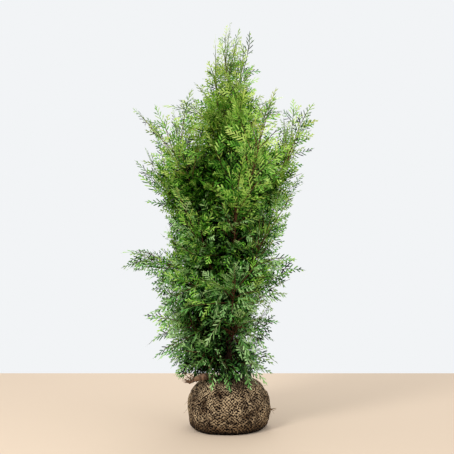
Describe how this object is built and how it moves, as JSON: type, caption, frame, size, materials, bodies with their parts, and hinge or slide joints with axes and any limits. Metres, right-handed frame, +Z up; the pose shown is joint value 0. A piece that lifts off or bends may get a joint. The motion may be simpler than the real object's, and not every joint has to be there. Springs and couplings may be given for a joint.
{
  "type": "root-balled thuja",
  "caption": "Upright evergreen thuja with a straight trunk, rising boughs and flat toothed sprays, standing on a root ball wrapped in hessian.",
  "frame": {"origin": "middle of the root ball's flat underside, on the ground", "axes": "+Z up along the trunk, +X to the right and -Y towards the viewer as pictured"},
  "size_m": [0.929, 0.8959, 1.9189],
  "materials": {
    "hessian": "matte",
    "bark": "matte",
    "foliage": "matte"
  },
  "bodies": {
    "root": {"bough_low_1": "bark", "bough_low_2": "bark", "bough_low_3": "bark", "bough_low_4": "bark", "bough_middle_1": "bark", "bough_middle_2": "bark", "bough_middle_3": "bark", "bough_middle_4": "bark", "bough_shoulder_1": "bark", "bough_shoulder_2": "bark", "bough_shoulder_3": "bark", "bough_shoulder_4": "bark", "bough_shoulder_5": "bark", "bough_upper_1": "bark", "bough_upper_2": "bark", "bough_upper_3": "bark", "bough_upper_4": "bark", "bough_waist_1": "bark", "bough_waist_2": "bark", "bough_waist_3": "bark", "bough_waist_4": "bark", "foliage_leader": "foliage", "foliage_low_1": "foliage", "foliage_low_2": "foliage", "foliage_low_3": "foliage", "foliage_low_4": "foliage", "foliage_middle_1": "foliage", "foliage_middle_2": "foliage", "foliage_middle_3": "foliage", "foliage_middle_4": "foliage", "foliage_neck_1": "foliage", "foliage_neck_2": "foliage", "foliage_neck_3": "foliage", "foliage_neck_4": "foliage", "foliage_shoulder_1": "foliage", "foliage_shoulder_2": "foliage", "foliage_shoulder_3": "foliage", "foliage_shoulder_4": "foliage", "foliage_shoulder_5": "foliage", "foliage_skirt_1": "foliage", "foliage_skirt_2": "foliage", "foliage_skirt_3": "foliage", "foliage_skirt_4": "foliage", "foliage_upper_1": "foliage", "foliage_upper_2": "foliage", "foliage_upper_3": "foliage", "foliage_upper_4": "foliage", "foliage_waist_1": "foliage", "foliage_waist_2": "foliage", "foliage_waist_3": "foliage", "foliage_waist_4": "foliage", "hessian_knot": "hessian", "root_ball": "hessian", "trunk": "bark"}
  },
  "joints": []
}
